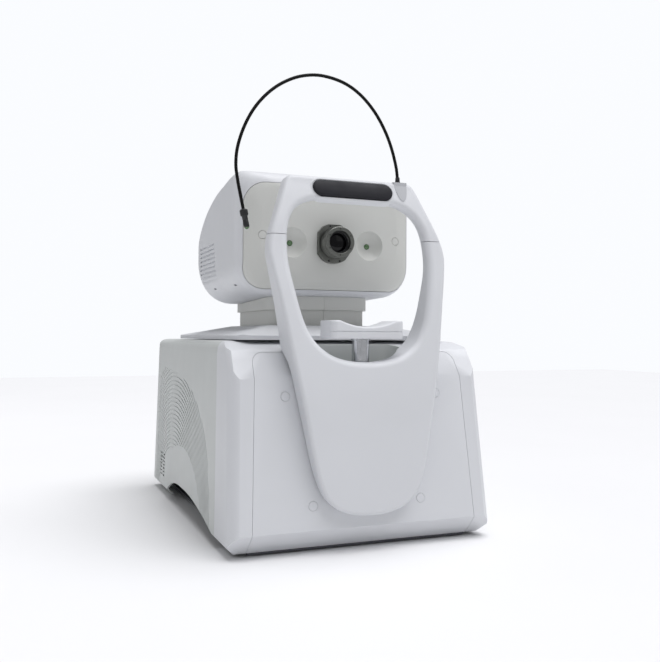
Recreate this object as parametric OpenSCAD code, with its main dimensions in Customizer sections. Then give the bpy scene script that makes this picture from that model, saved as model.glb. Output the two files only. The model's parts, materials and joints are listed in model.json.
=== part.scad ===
// Table-top fundus camera: a desk base, a motorised three-way stage, an imaging head,
// a face frame with a forehead pad and chin rest, and a gooseneck fixation lamp.
// Millimetres. +Z is up, the patient sits at -Y, and the operator at +Y. The origin is on the
// table, under the middle of the whole object.

/* [Base] */
// Width of the base where its sides are widest, near the table
base_width = 350; // [345:1:358]
// Height of the base, from the table to its top deck
base_height = 254; // [250:0.5:256]
// Wall thickness of the base covers
cover_wall = 3; // [2.5:0.5:4]
// Pitch of the curved ridges pressed into the side covers
ridge_pitch = 6.5; // [6:0.5:8]

/* [Stage] */
// Sideways travel of the head, each way
travel_x = 40; // [20:5:40]
// Travel of the head away from the patient
travel_back = 28; // [15:1:28]
// Radius of the linear guide rods
rod_r = 6; // [5:0.5:7]
// Radius of the lead screws
screw_r = 4; // [3:0.5:4]
// Radial clearance of every sliding or turning fit
running_gap = 0.06; // [0.03:0.01:0.1]

/* [Head] */
// Width of the imaging head
head_width = 259; // [251:1:265]
// Height of the head's top above the table
head_top = 484; // [480:1:488]
// Height of the optical axis above the table
axis_height = 386; // [384:1:388]
// Radius of the objective's front ring
objective_r = 20.5; // [19:0.5:22]

/* [Face frame] */
// Width of the face frame where it is widest
frame_width = 241; // [238:1:244]
// Width of the opening for the face
face_opening = 191; // [187:1:194]
// Length of the forehead pad
pad_length = 111; // [100:1:116]
// Width of the chin cup
chin_width = 98; // [90:2:104]

/* [Gooseneck lamp] */
// Radius of the gooseneck
neck_r = 2.4; // [2:0.2:3]
// Radius of the lamp's body
lamp_r = 3.6; // [3:0.2:4]

/* [Hidden] */

$fn = 64;
far = 900;
clear = 0.3;

white = [0.88, 0.89, 0.90];
shade = [0.78, 0.80, 0.79];
cream = [0.82, 0.82, 0.79];
dark = [0.22, 0.22, 0.24];
black = [0.05, 0.05, 0.05];
metal = [0.62, 0.63, 0.64];
steel = [0.72, 0.73, 0.75];
pcb = [0.10, 0.34, 0.20];

// ---- base outline ----
depth_half = 271.5;
front_y = -261;
floor_z = 4;
tuck = 26;
side_taper = 2.0;
skirt = 10;
front_lean = 7.5;
edge_r = 20;
seam_foot_y = -188.5;
seam_lean = 5.6;
deck_half = 150;
top_edge_r = 14;
rear_seam_y = 240;

// ---- stage ----
column_y = -20;
column_r = 34;
y_rod_x = 85;
y_rod_z = 40;
x_rod_dy = 50;
x_rod_z = 82;
piston_r = column_r - 3;
motor_side = 42;

// ---- head ----
head_front_y = -131;
head_rear_y = 132;
head_bottom = 310;
chin_rise = 5.5;
head_wall = 3;

// ---- face frame ----
seam_z = 384.5;
frame_top = 463.5;
cap_lean = 20;
pad_z = 447;
pad_y = -203;
pad_half_h = 11.5;
socket_x = 69.8;
socket_y = -192;
socket_back = -186;
socket_z = 467;
chin_y = -230;
chin_bottom = 257;
well_floor = 222;
well_half = 68;
well_back = -192;
well_r = 18;
post_r = 11;

function bezier(a, b, c, d, n = 10) = [for (i = [0 : n]) let (t = i / n, s = 1 - t)
    s * s * s * a + 3 * s * s * t * b + 3 * s * t * t * c + t * t * t * d];

function mirrored(pts) = [for (i = [len(pts) - 1 : -1 : 0]) [-pts[i][0], pts[i][1]]];

// A profile given in the Y-Z plane, pushed out along X over a half width
module along_x(half) {
    rotate([90, 0, 90]) translate([0, 0, -half]) linear_extrude(2 * half) children();
}

// A profile given in the X-Z plane, pushed out along Y from y0 to y1
module along_y(y0, y1) {
    translate([0, y1, 0]) rotate([90, 0, 0]) linear_extrude(y1 - y0) children();
}

module rounded_square(x0, y0, x1, y1, r) {
    translate([x0 + r, y0]) square([x1 - x0 - 2 * r, y1 - y0]);
    translate([x0, y0 + r]) square([x1 - x0, y1 - y0 - 2 * r]);
    for (x = [x0 + r, x1 - r], y = [y0 + r, y1 - r]) translate([x, y]) circle(r);
}

module stadium(half_l, half_h) {
    square([2 * (half_l - half_h), 2 * half_h], center = true);
    for (s = [-1, 1]) translate([s * (half_l - half_h), 0]) circle(half_h);
}

module rod_x(x0, x1, y, z, r) {
    translate([x0, y, z]) rotate([0, 90, 0]) cylinder(r = r, h = x1 - x0);
}

module rod_y(y0, y1, x, z, r) {
    translate([x, y1, z]) rotate([90, 0, 0]) cylinder(r = r, h = y1 - y0);
}

module box(x0, y0, z0, x1, y1, z1) {
    translate([x0, y0, z0]) cube([x1 - x0, y1 - y0, z1 - z0]);
}

// ---------- base body ----------

// The base's side view, drawn in by inset
module base_side_view(inset) {
    top = base_height - inset;
    front = front_y + inset;
    polygon(concat(
        [[front + 24, floor_z], [front, floor_z + tuck], [front + 23.4, 208]],
        bezier([front + 24, 212], [front + 27, 232], [-222, top - 11], [-190, top - 4.5], 8),
        bezier([-180, top - 2], [-165, top - 0.4], [-150, top], [-130, top], 4),
        bezier([244, top], [258, top], [267 - inset, top - 8], [268.5 - inset, top - 26], 6),
        [[depth_half - inset, floor_z + 56], [depth_half - inset, floor_z + tuck],
         [258 - inset, floor_z]]));
}

// The base's front view: sloping sides are left to base_block, this tucks the skirt in
module base_front_view(inset) {
    half = base_width / 2 + 4 - inset;
    top = base_height - inset;
    high = half - 4 - (base_height - floor_z - tuck) * tan(side_taper);
    side = concat([[half - 4 - skirt, floor_z], [half, floor_z + skirt + 4], [half, 200]],
        bezier([high, top - top_edge_r], [high, top - 5], [high - 5, top], [high - top_edge_r, top], 6));
    polygon(concat(side, mirrored(side)));
}

// One side wall and an end wall, both leaning in, with a rounded corner between them. The end wall
// passes through y at the skirt's top; dir is 1 for the front end and -1 for the rear end.
module base_corner(s, dir, y, lean, slack, r, inset) {
    translate([s * (base_width / 2 - inset + slack), y + dir * inset, floor_z + tuck])
        rotate([-lean, -s * side_taper, 0]) translate([0, 0, -400])
            linear_extrude(1400) scale([s, dir]) union() {
                translate([-600, r]) square([600, 1400]);
                translate([-600, 0]) square([600 - r, 1400]);
                translate([-r, r]) circle(r);
            }
}

module base_block(s, inset) {
    r = max(edge_r - inset, 4);
    intersection() {
        base_corner(s, 1, front_y, front_lean, 0, r, inset);
        base_corner(s, 1, -226 - (235 - floor_z - tuck) * tan(33), 33, 0.4, r, inset);
        base_corner(s, -1, depth_half, 0, 0.3, r, inset);
    }
}

module base_body(inset) {
    intersection() {
        base_block(-1, inset);
        base_block(1, inset);
        along_x(300) base_side_view(inset);
        along_y(-300, 300) base_front_view(inset);
    }
}

module base_shell(wall) {
    difference() {
        base_body(0);
        base_body(wall);
        box(-150, front_y + 30, floor_z - 1, 150, 250, floor_z + wall + 4);
    }
}

// Right half of an outline from z0 to z1, with half widths h0 and h1 there and rounded corners
function half_outline(z0, z1, h0, h1, r0, r1) = concat(
    bezier([h0 - r0, z0], [h0 - 0.45 * r0, z0], [h0, z0 + 0.45 * r0], [h0, z0 + r0], 6),
    bezier([h1, z1 - r1], [h1, z1 - 0.45 * r1], [h1 - 0.45 * r1, z1], [h1 - r1, z1], 6));

module both_halves(right) {
    polygon(concat(right, mirrored(right)));
}

// The covers' joint beside the front housing leans back as it rises
function seam_y(z) = seam_foot_y + z * tan(seam_lean);

module ahead_of_seam() {
    along_x(far / 3) polygon([[-far, 0], [seam_y(0), 0], [seam_y(far), far], [-far, far]]);
}

module behind_seam(gap) {
    along_x(far / 3) polygon([[seam_y(0) + gap, 0], [rear_seam_y - clear, 0], [rear_seam_y - clear, 300],
        [seam_y(300) + gap, 300]]);
}

module panel_outline(grow) {
    both_halves(half_outline(-20, 240 + grow, 150 + grow, 138.6 + grow, 2, 14 + grow));
}

module well_outline(grow) {
    inner = well_half - well_r;
    translate([-inner - grow, -300]) square([2 * (inner + grow), well_back + 300 + grow]);
    translate([-well_half - grow, -300]) square([2 * (well_half + grow), well_back - well_r + 300 + grow]);
    for (s = [-1, 1]) translate([s * inner, well_back - well_r]) circle(well_r + grow);
}

module well_cut(grow) {
    translate([0, 0, well_floor - grow]) linear_extrude(100) well_outline(grow);
}

module front_housing() {
    color(white) difference() {
        intersection() {
            base_shell(cover_wall);
            ahead_of_seam();
        }
        along_y(-300, -195) panel_outline(0.4);
        well_cut(cover_wall + clear);
        drive_pocket();
    }
}

module access_panel() {
    color(white) difference() {
        intersection() {
            base_shell(cover_wall);
            along_y(-300, -195) panel_outline(0);
        }
        well_cut(cover_wall + clear);
        drive_pocket();
        for (p = plug_places) rod_y(-300, -225, p[0], p[1], plug_r + 0.3);
    }
}

plug_r = 5.5;
plug_places = [[-72, 57.5], [72, 57.5], [-102, 187.5], [102, 187.5]];

// Round plugs over the access panel's screws, flush with the leaning front face
module panel_plugs() {
    color(white) for (p = plug_places) intersection() {
        rod_y(-300, -225, p[0], p[1], plug_r);
        difference() {
            base_body(-0.3);
            base_body(cover_wall);
        }
    }
}

module chin_well() {
    color(shade) difference() {
        intersection() {
            well_cut(cover_wall);
            base_body(0);
        }
        well_cut(0);
        translate([0, chin_y, 0]) cylinder(r = post_r + 4, h = 300);
    }
}

arch = concat([[-205, -5]],
    bezier([-200, 9], [-150, 19], [-70, 37], [0, 37], 12),
    bezier([40, 37], [90, 36], [128, 26], [152, 0], 8), [[154, -5]]);

ridge_centre = [93, -50];
ridge_first = 136;
ridge_rings = 22;
ridge_field = concat(
    bezier([236, 0], [236, 150], [232, 207], [212, 207], 8),
    bezier([210, 207], [0, 206], [-150, 180], [-158, 16], 16), [[-132, 0]]);
ridge_eye = bezier([178, 46], [70, 118], [-60, 118], [-116, 10], 14);
front_vents = [[-150, 42], [-126, 30], [-98, 62], [-122, 76]];

module ridge_lines(width) {
    for (i = [0 : ridge_rings - 1]) let (r = ridge_first + i * ridge_pitch) difference() {
        translate(ridge_centre) circle(r + width / 2, $fn = 128);
        translate(ridge_centre) circle(r - width / 2, $fn = 128);
    }
}

// Everything cut into a side cover, seen along X; s is -1 for the left cover
module side_cuts(s) {
    translate([s * base_width / 2, 0, floor_z + tuck]) rotate([0, -s * side_taper, 0])
        translate([0, 0, -floor_z - tuck]) {
            translate([s * 4, 0, 0]) along_x(5) difference() {
                intersection() {
                    ridge_lines(2.6);
                    polygon(ridge_field);
                }
                polygon(concat(ridge_eye, [[-116, -60], [178, -60]]));
            }
            along_x(20) intersection() {
                ridge_lines(2.8);
                polygon(front_vents);
            }
            along_x(20) for (column = [0, 1], row = [0 : 6])
                translate([161 + 24 * column, 30 + 5.6 * row]) square([17, 2.6]);
        }
    along_x(300) polygon(arch);
}

module side_cover(s) {
    color(shade) difference() {
        intersection() {
            base_shell(cover_wall);
            behind_seam(clear);
            translate([s * (deck_half + clear + 100), 0, 150]) cube([200, 700, 400], center = true);
        }
        side_cuts(s);
    }
}

module left_side_cover() { side_cover(-1); }

module right_side_cover() { side_cover(1); }

slot_x = column_r + travel_x + 8;
slot_front = column_y - column_r - 20;
slot_back = column_y + column_r + travel_back + 8;

module top_deck() {
    color(white) difference() {
        intersection() {
            base_shell(cover_wall);
            behind_seam(clear);
            box(-deck_half, -300, 200, deck_half, 300, 300);
        }
        translate([0, 0, 200]) linear_extrude(100)
            rounded_square(-slot_x, slot_front, slot_x, slot_back, 12);
    }
}

inlet_x = -112;
inlet_z = 48;
rocker_z = 84;
fan_x = 84;
fan_z = 150;
fan_half = 30;

module rear_cover() {
    color(shade) difference() {
        intersection() {
            base_shell(cover_wall);
            box(-250, rear_seam_y, 0, 250, 300, 300);
        }
        along_y(230, 300) {
            translate([inlet_x, inlet_z]) square([28.4, 20.4], center = true);
            translate([inlet_x, rocker_z]) square([28.4, 18], center = true);
            translate([-52, inlet_z]) square([70.4, 18.4], center = true);
            for (i = [-4 : 4]) translate([fan_x, fan_z + i * 6]) square([52, 3], center = true);
        }
    }
}

module base_plate() {
    color(dark) difference() {
        box(-147, -236, 1, 147, 250, floor_z - 0.2);
        foot_places() cylinder(r = 5.1, h = 20, center = true);
    }
}

foot_x = 118;
foot_front = -200;
foot_back = 215;

module foot_places() {
    for (x = [-foot_x, foot_x], y = [foot_front, foot_back]) translate([x, y, 0]) children();
}

module feet() {
    color(black) foot_places() {
        cylinder(r = 16, h = 1);
        cylinder(r = 5, h = floor_z + 3);
    }
}

// ---------- power, signals and electronics ----------

module power_inlet() {
    color(black) difference() {
        along_y(252, 270.5) translate([inlet_x, inlet_z]) square([28, 20], center = true);
        along_y(256, 280) difference() {
            translate([inlet_x, inlet_z]) square([24, 16.5], center = true);
            translate([inlet_x, inlet_z]) square([17, 9], center = true);
        }
        along_y(256, 280) for (i = [-1 : 1])
            translate([inlet_x + i * 5, inlet_z]) square([1.4, 5], center = true);
    }
}

rocker_pivot_y = 262;

module power_rocker() {
    color(black) translate([inlet_x, 0, rocker_z]) along_x(13) polygon([
        [rocker_pivot_y - 4, -3], [rocker_pivot_y - 4, 3], [rocker_pivot_y + 8, 6],
        [rocker_pivot_y + 6.5, 0], [rocker_pivot_y + 8.6, -6]]);
}

module signal_sockets() {
    color(steel) difference() {
        along_y(250, 270) translate([-52, inlet_z]) square([70, 18], center = true);
        along_y(256, 280) {
            translate([-72, inlet_z]) square([15, 12], center = true);
            for (z = [-4, 4]) translate([-48, inlet_z + z]) square([13, 5], center = true);
            translate([-28, inlet_z]) square([14, 5], center = true);
        }
    }
}

module power_supply() {
    color(steel) difference() {
        box(-140, 108, floor_z, -70, 206, 46);
        for (i = [0 : 8]) box(-130 + i * 6, 120, 44, -127 + i * 6, 194, 50);
    }
}

board_x = 112;
board_top = 17.6;

module main_board() {
    color(pcb) {
        box(board_x, 0, 16, board_x + 48, 190, board_top);
        for (x = [board_x + 5, board_x + 43], y = [6, 184])
            translate([x, y, floor_z]) cylinder(r = 3, h = 12);
    }
    color(black) box(board_x + 12, 60, board_top, board_x + 37, 85, board_top + 3.4);
    color(steel) for (i = [0 : 3])
        box(board_x + 2 + i * 11, 150, board_top, board_x + 10 + i * 11, 175, board_top + 9.4);
}

fan_front_y = 236;
fan_back_y = 251;

module fan_frame() {
    color(black) {
        along_y(fan_front_y, fan_back_y) translate([fan_x, fan_z]) difference() {
            square(2 * fan_half, center = true);
            circle(27);
            for (x = [-25, 25], y = [-25, 25]) translate([x, y]) circle(2);
        }
        along_y(fan_front_y, fan_front_y + 2) translate([fan_x, fan_z]) {
            circle(8);
            for (a = [0 : 120 : 359]) rotate(a) translate([0, -2]) square([28, 4]);
        }
        rod_y(fan_front_y, fan_back_y - 3, fan_x, fan_z, 1.5);
    }
}

module fan_rotor() {
    color(dark) difference() {
        along_y(fan_front_y + 3, fan_back_y - 1) translate([fan_x, fan_z]) {
            circle(11);
            for (a = [0 : 360 / 7 : 359]) rotate(a) translate([0, -1]) rotate(14) square([25, 2]);
        }
        rod_y(fan_front_y, fan_back_y - 2.4, fan_x, fan_z, 1.5 + running_gap);
    }
}

// ---------- motorised stage ----------

rail_y0 = -132;
rail_y1 = 104;

module y_rail_blocks() {
    color(metal) difference() {
        for (y = [rail_y0, rail_y1 - 12]) box(-105, y, floor_z, 105, y + 12, y_rod_z + 12);
        for (s = [-1, 1]) rod_y(-300, 300, s * y_rod_x, y_rod_z, rod_r);
        rod_y(-300, 300, 0, y_rod_z, screw_r + running_gap);
    }
}

module y_rails() {
    color(steel) for (s = [-1, 1]) rod_y(rail_y0, rail_y1, s * y_rod_x, y_rod_z, rod_r);
}

module motor(length) {
    half = motor_side / 2;
    linear_extrude(length) intersection() {
        square(motor_side, center = true);
        rotate(45) square(motor_side * 1.24, center = true);
    }
    translate([0, 0, -2]) cylinder(r = half / 2, h = 2);
}

module y_motor() {
    color(dark) translate([0, rail_y1 + 2, y_rod_z]) rotate([-90, 0, 0]) motor(34);
}

module y_screw() {
    color(steel) rod_y(rail_y0 + 2, rail_y1, 0, y_rod_z, screw_r);
}

carriage_half = 58;

module y_carriage() {
    y0 = column_y - carriage_half;
    y1 = column_y + carriage_half;
    color(metal) difference() {
        union() {
            box(-104, y0, y_rod_z + 12.5, 104, y1, y_rod_z + 20);
            for (x = [-y_rod_x, y_rod_x]) box(x - 14, y0, y_rod_z - 12, x + 14, y1, y_rod_z + 13);
            box(-12, column_y - 16, y_rod_z - 12, 12, column_y + 16, y_rod_z + 13);
            for (x = [-101, 101]) box(x - 6, y0, y_rod_z + 19, x + 6, y1, x_rod_z + 12);
        }
        for (s = [-1, 1]) rod_y(-300, 300, s * y_rod_x, y_rod_z, rod_r + running_gap);
        rod_y(-300, 300, 0, y_rod_z, screw_r + running_gap);
        for (s = [-1, 1]) rod_x(-300, 300, column_y + s * x_rod_dy, x_rod_z, rod_r);
        rod_x(-300, 300, column_y, x_rod_z, screw_r + running_gap);
    }
}

module x_rails() {
    color(steel) for (s = [-1, 1]) rod_x(-107, 107, column_y + s * x_rod_dy, x_rod_z, rod_r);
}

module x_motor() {
    color(dark) translate([109, column_y, x_rod_z]) rotate([0, 90, 0]) motor(30);
}

module x_screw() {
    color(steel) rod_x(-105, 107, column_y, x_rod_z, screw_r);
}

module x_carriage() {
    color(metal) difference() {
        union() {
            for (y = [column_y - x_rod_dy, column_y + x_rod_dy])
                box(-50, y - 12, x_rod_z - 12, 50, y + 12, x_rod_z + 12);
            box(-14, column_y - 12, x_rod_z - 12, 14, column_y + 12, x_rod_z + 12);
            box(-50, column_y - 62, x_rod_z + 11, 50, column_y + 62, x_rod_z + 20);
        }
        for (s = [-1, 1]) rod_x(-300, 300, column_y + s * x_rod_dy, x_rod_z, rod_r + running_gap);
        rod_x(-300, 300, column_y, x_rod_z, screw_r + running_gap);
    }
}

column_foot = x_rod_z + 20;
column_top = 292;

module column_tube() {
    color(metal) translate([0, column_y, 0]) difference() {
        translate([0, 0, column_foot]) cylinder(r = column_r, h = column_top - column_foot);
        translate([0, 0, column_foot - 1]) cylinder(r = piston_r + running_gap, h = 300);
    }
}

module z_motor() {
    color(dark) translate([0, column_y, column_foot + 34]) rotate([180, 0, 0]) motor(34);
}

module z_screw() {
    color(steel) translate([0, column_y, column_foot + 36]) cylinder(r = screw_r, h = 128);
}

cover_front = -191;
cover_back = 203;
cover_half = 145;
cover_floor = 255;
rim_top = 260.5;
crown_top = 274.5;

// A low hipped cover that hides the stage slot and slides over the deck
module stage_cover() {
    module solid(drop) {
        intersection() {
            along_x(cover_half - drop) polygon([
                [cover_front + drop, 0], [cover_front + drop, rim_top - drop],
                [-118, crown_top - drop], [78, crown_top - drop],
                [cover_back - drop, rim_top - drop], [cover_back - drop, 0]]);
            along_y(-300, 300) polygon([
                [-cover_half + drop, 0], [-cover_half + drop, rim_top - drop],
                [-84, crown_top - drop + 0.5], [84, crown_top - drop + 0.5],
                [cover_half - drop, rim_top - drop], [cover_half - drop, 0]]);
            translate([0, 0, cover_floor]) linear_extrude(60)
                rounded_square(-cover_half + drop, cover_front + drop, cover_half - drop,
                    cover_back - drop, 20);
        }
    }
    color(white) difference() {
        solid(0);
        translate([0, 0, -0.5]) solid(3);
        translate([0, column_y, 200]) cylinder(r = column_r + clear, h = 100);
    }
}

neck_half = 76;
neck_front = -104;
neck_back = 88;
neck_wall = 2.5;

// Plan outline of the neck: a bulged front, straight sides and a flat back
module neck_plan(inset) {
    half = neck_half - inset;
    front = neck_front + inset;
    back = neck_back - inset;
    both_halves(concat(
        bezier([0, front], [24, front], [44, front + 3.5], [half - 22, front + 6.5], 5),
        bezier([half - 20, front + 7], [half - 7, front + 10], [half, front + 20], [half, front + 38], 6),
        bezier([half, back - 12], [half, back - 4], [half - 4, back], [half - 12, back], 4)));
}

module neck_ring(z0, z1, inset, wall) {
    translate([0, 0, z0]) linear_extrude(z1 - z0) difference() {
        neck_plan(inset);
        neck_plan(inset + wall);
    }
}

module half_space(s, gap) {
    translate([s * (far / 2 + gap), 0, 0]) cube(far, center = true);
}

lower_neck_top = 317.2;
upper_neck_bottom = 296.5;

module lower_neck(s) {
    color(cream) intersection() {
        neck_ring(crown_top + 0.2, lower_neck_top, neck_wall + 1, neck_wall);
        half_space(s, 0.15);
    }
}

module lower_neck_left() { lower_neck(-1); }

module lower_neck_right() { lower_neck(1); }

module upper_neck(s) {
    color(cream) difference() {
        intersection() {
            neck_ring(upper_neck_bottom, bench_z, 0, neck_wall);
            half_space(s, 0.15);
        }
        head_body(-0.2);
    }
}

module upper_neck_left() { upper_neck(-1); }

module upper_neck_right() { upper_neck(1); }

// ---------- head ----------

piston_low = 160;
bench_z = 330;

module column_piston() {
    color(steel) translate([0, column_y, 0]) difference() {
        translate([0, 0, piston_low]) cylinder(r = piston_r, h = bench_z - piston_low);
        translate([0, 0, piston_low + 14]) cylinder(r = piston_r - 4, h = 300);
        translate([0, 0, piston_low - 1]) cylinder(r = screw_r + running_gap, h = 300);
    }
}

module head_side_view(inset) {
    top = head_top - inset;
    low = head_bottom + inset;
    back = head_rear_y - inset;
    front = head_front_y - 3 + inset;
    polygon(concat(
        bezier([front, 347], [front, 330 + inset], [-128, low + chin_rise], [-104, low + chin_rise], 6),
        bezier([60, low], [84, low], [100 - inset, 326], [113 - inset, 343], 7),
        bezier([back - 17, 345], [back - 5, 360], [back + 4, 378], [back - 4, 400], 6),
        bezier([back - 5, 402], [back - 12, 440], [42 - inset, top - 12], [-30, top - 6], 12),
        bezier([-36, top - 5.2], [-50, top - 3], [-68, top - 0.4], [-84, top], 5),
        bezier([-96, top], [-116, top], [front, top - 12], [front, 440], 8)));
}

module head_front_view(inset) {
    half = head_width / 2 - inset;
    both_halves(half_outline(head_bottom + inset, head_top - inset, half, half, 44 - inset, 13 - inset));
}

module head_plan(inset) {
    half = head_width / 2 - inset;
    front = head_front_y - 2 + inset;
    back = head_rear_y - inset;
    both_halves(concat(
        bezier([0, front], [20, front], [60, front + 2], [half - 30, front + 7], 5),
        bezier([half - 29, front + 7.2], [half - 11, front + 12], [half, front + 23], [half, front + 40], 7),
        bezier([half, back - 14], [half, back - 5], [half - 5, back], [half - 14, back], 5)));
}

module head_body(inset) {
    intersection() {
        along_x(300) head_side_view(inset);
        along_y(-300, 300) head_front_view(inset);
        linear_extrude(600) head_plan(inset);
    }
}

module cover_outline(grow) {
    rounded_square(-121 - grow, 323.5 - grow, 121 + grow, 465.5 + grow, 29 + grow);
}

vent_count = 9;
vent_pitch = 6.6;
vent_z = 341;
vent_y0 = 0;
vent_y1 = 106;
display_half_w = 70;
display_z0 = 352;
display_z1 = 432;

module head_shell() {
    color(white) difference() {
        head_body(0);
        head_body(head_wall);
        along_y(-300, -90) cover_outline(0.4);
        translate([0, 0, 200]) linear_extrude(bench_z - 201) neck_plan(neck_wall);
        along_y(60, 300) rounded_square(-display_half_w - 0.4, display_z0 - 0.4,
            display_half_w + 0.4, display_z1 + 0.4, 6);
        for (x = [-134, 134], i = [0 : vent_count - 1]) let (z = vent_z + i * vent_pitch)
            box(x - 10, vent_y0, z, x + 10, vent_y1, z + 2.6);
        for (x = [-126, 126], y = [-76, 32]) box(x - 14, y, 329, x + 14, y + 12, 331.5);
    }
}

window_x = 57.2;
window_y = -121;
hollow_r = 24;
plug_x = 98;
plug_z = 394.5;

// The scooped recess around each pupil window, or its backing when grown
module window_hollow(grow) {
    for (s = [-1, 1]) translate([s * window_x, window_y - hollow_r + 1, axis_height])
        sphere(hollow_r + grow);
}

module head_front_cover() {
    color(cream) difference() {
        union() {
            intersection() {
                difference() {
                    head_body(0);
                    head_body(head_wall);
                }
                along_y(-300, -90) cover_outline(0);
            }
            intersection() {
                window_hollow(3);
                head_body(0.1);
                along_y(-300, -90) cover_outline(-4);
            }
        }
        window_hollow(0);
        rod_y(-300, 0, 0, axis_height, barrel_r + 1.5);
        for (s = [-1, 1]) rod_y(-300, 0, s * window_x, axis_height, 4);
        for (s = [-1, 1]) rod_y(-300, 0, s * plug_x, plug_z, plug_r + 0.1);
    }
}

module head_plugs() {
    color(cream) for (s = [-1, 1]) intersection() {
        rod_y(-300, -80, s * plug_x, plug_z, plug_r);
        difference() {
            head_body(0);
            head_body(head_wall);
        }
    }
}

bench_pillar_y = [-88, 70];

module optical_bench() {
    color(metal) difference() {
        union() {
            box(-96, -100, bench_z, 96, 84, bench_z + 5);
            for (y = bench_pillar_y) box(-34, y, bench_z + 5, 34, y + 10, axis_height + 34);
        }
        rod_y(-300, 300, 0, axis_height, barrel_r + 0.1);
        for (s = [-1, 1]) rod_y(-300, 300, s * focus_rod_x, focus_rod_z, 4);
    }
}

flange_y0 = -141;
barrel_r = 19;

module flange_plan() {
    intersection() {
        circle(27.3);
        both_halves([[12.3, -27.3], [22.4, -14], [22, 15], [12.3, 26]]);
    }
}

module objective_flange() {
    color(metal) difference() {
        along_y(flange_y0, head_front_y - 2.2) translate([0, axis_height]) flange_plan();
        rod_y(-300, 0, 0, axis_height, barrel_r + 0.1);
        objective_screw_places() cylinder(r = 1.2, h = 20, center = true);
    }
}

barrel_front = -163;

module objective_barrel() {
    color(metal) difference() {
        union() {
            rod_y(-150, -78, 0, axis_height, barrel_r);
            rod_y(-158, flange_y0 - 0.3, 0, axis_height, objective_r - 0.4);
            rod_y(barrel_front, -157, 0, axis_height, objective_r);
        }
        rod_y(-300, 0, 0, axis_height, 14);
        ring_screw_places() cylinder(r = 0.9, h = 8, center = true);
    }
}

module ring_screw_places() {
    for (a = [30 : 60 : 359]) translate([0, barrel_front, axis_height]) rotate([0, a, 0])
        translate([17.3, 0, 0]) rotate([90, 0, 0]) children();
}

module objective_screw_places() {
    for (a = [[-6, 23.4], [6, 23.4], [-8, -23.6], [8, -23.6]])
        translate([a[0], flange_y0, axis_height + a[1]]) rotate([90, 0, 0]) children();
}

module objective_screws() {
    color(black) {
        ring_screw_places() translate([0, 0, -4]) cylinder(r = 0.9, h = 4);
        objective_screw_places() translate([0, 0, -5]) cylinder(r = 1.2, h = 5);
    }
}

module objective_lens() {
    color(black) difference() {
        rod_y(-160, -152, 0, axis_height, 13.9);
        translate([0, -160 - 38.5, axis_height]) sphere(40);
    }
}

module pupil_windows() {
    color([0.45, 0.62, 0.45]) for (s = [-1, 1]) {
        rod_y(window_y, window_y + 16, s * window_x, axis_height, 3.9);
        translate([s * window_x, window_y, axis_height]) intersection() {
            translate([0, 4, 0]) sphere(5.5);
            rod_y(-3, 0.1, 0, 0, 3.5);
        }
    }
}

module relay_tube() {
    color(dark) difference() {
        rod_y(-77, -10, 0, axis_height, 18);
        rod_y(-300, 300, 0, axis_height, 13);
    }
    color(dark) for (y = [-74, -20]) difference() {
        box(-12, y, bench_z + 5, 12, y + 8, axis_height - 12);
        rod_y(-300, 300, 0, axis_height, 17.9);
    }
}

module camera_module() {
    color(dark) {
        box(-24, 82, axis_height - 24, 24, 98, axis_height + 24);
        rod_y(60, 83, 0, axis_height, 14);
    }
}

focus_y = 20;
focus_rod_x = 28;
focus_rod_z = axis_height - 20;

module focus_rods() {
    color(steel) for (s = [-1, 1]) rod_y(-86, 78, s * focus_rod_x, focus_rod_z, 4);
}

module focus_carriage() {
    color(metal) difference() {
        union() {
            rod_y(focus_y - 12, focus_y + 12, 0, axis_height, 20);
            for (s = [-1, 1]) rod_y(focus_y - 12, focus_y + 12, s * focus_rod_x, focus_rod_z, 8);
            box(-focus_rod_x, focus_y - 12, focus_rod_z - 6, focus_rod_x, focus_y + 12, focus_rod_z + 6);
        }
        rod_y(-300, 300, 0, axis_height, 12);
        for (s = [-1, 1]) rod_y(-300, 300, s * focus_rod_x, focus_rod_z, 4 + running_gap);
    }
}

module display_panel() {
    color(black) intersection() {
        along_y(95, 300) rounded_square(-display_half_w, display_z0, display_half_w, display_z1, 6);
        difference() {
            head_body(0.6);
            head_body(6);
        }
    }
}

// ---------- face frame ----------

// Front and back of the frame seen from the side; below the back line it meets the base
frame_front = [[-271.5, 38], [-270.5, 100], [-268, 140], [-266, 180], [-264, 200], [-257.8, 240],
    [-250.5, 280], [-242, 320], [-231.5, 360], [-222, 400], [-208, 440], [-200, 459], [-198, 468]];
frame_back = [[-178, 468], [-186, 443], [-203, 401], [-210, 370], [-214, 345], [-215, 300], [-213, 250],
    [-208, 200], [-230, 38]];

function frame_outline() = let (half = frame_width / 2) concat(
    bezier([0, 43.5], [32, 43.5], [50, 52], [61, 69], 8),
    bezier([61.5, 70], [69, 82], [74.5, 104], [80, 136], 6),
    [[84, 160], [91.5, 198], [99.3, 240], [106, 280], [110, 302], [half - 6, 324]],
    bezier([half - 3, 340], [half - 0.6, 352], [half + 0.4, 362], [half - 0.5, 372], 6),
    [[half - 3.8, 386], [half - 8.7, 400], [95.7, 442], [91.6, 453], [84, frame_top]]);

function opening_outline() = let (half = face_opening / 2) concat(
    bezier([0, 228.3], [34, 228.3], [54, 236], [69, 255], 8),
    bezier([70, 256.4], [78, 267], [83, 284], [86.6, 302], 6),
    bezier([87, 304], [91.5, 326], [half, 342], [half, 362], 5),
    bezier([half, 366], [half - 1, 412], [80, 432], [38, 433], 9),
    [[0, 434]]);

// Room in the frame and the covers for the chin rest's lift drive
module drive_pocket() {
    translate([0, chin_y, 119.6]) cylinder(r = collar_r + 0.4, h = 120);
}

module frame_body() {
    difference() {
        intersection() {
            along_y(-300, -150) difference() {
                both_halves(frame_outline());
                both_halves(opening_outline());
            }
            along_x(150) polygon(concat(frame_front, frame_back));
        }
        base_body(-clear);
        drive_pocket();
    }
}

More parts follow.
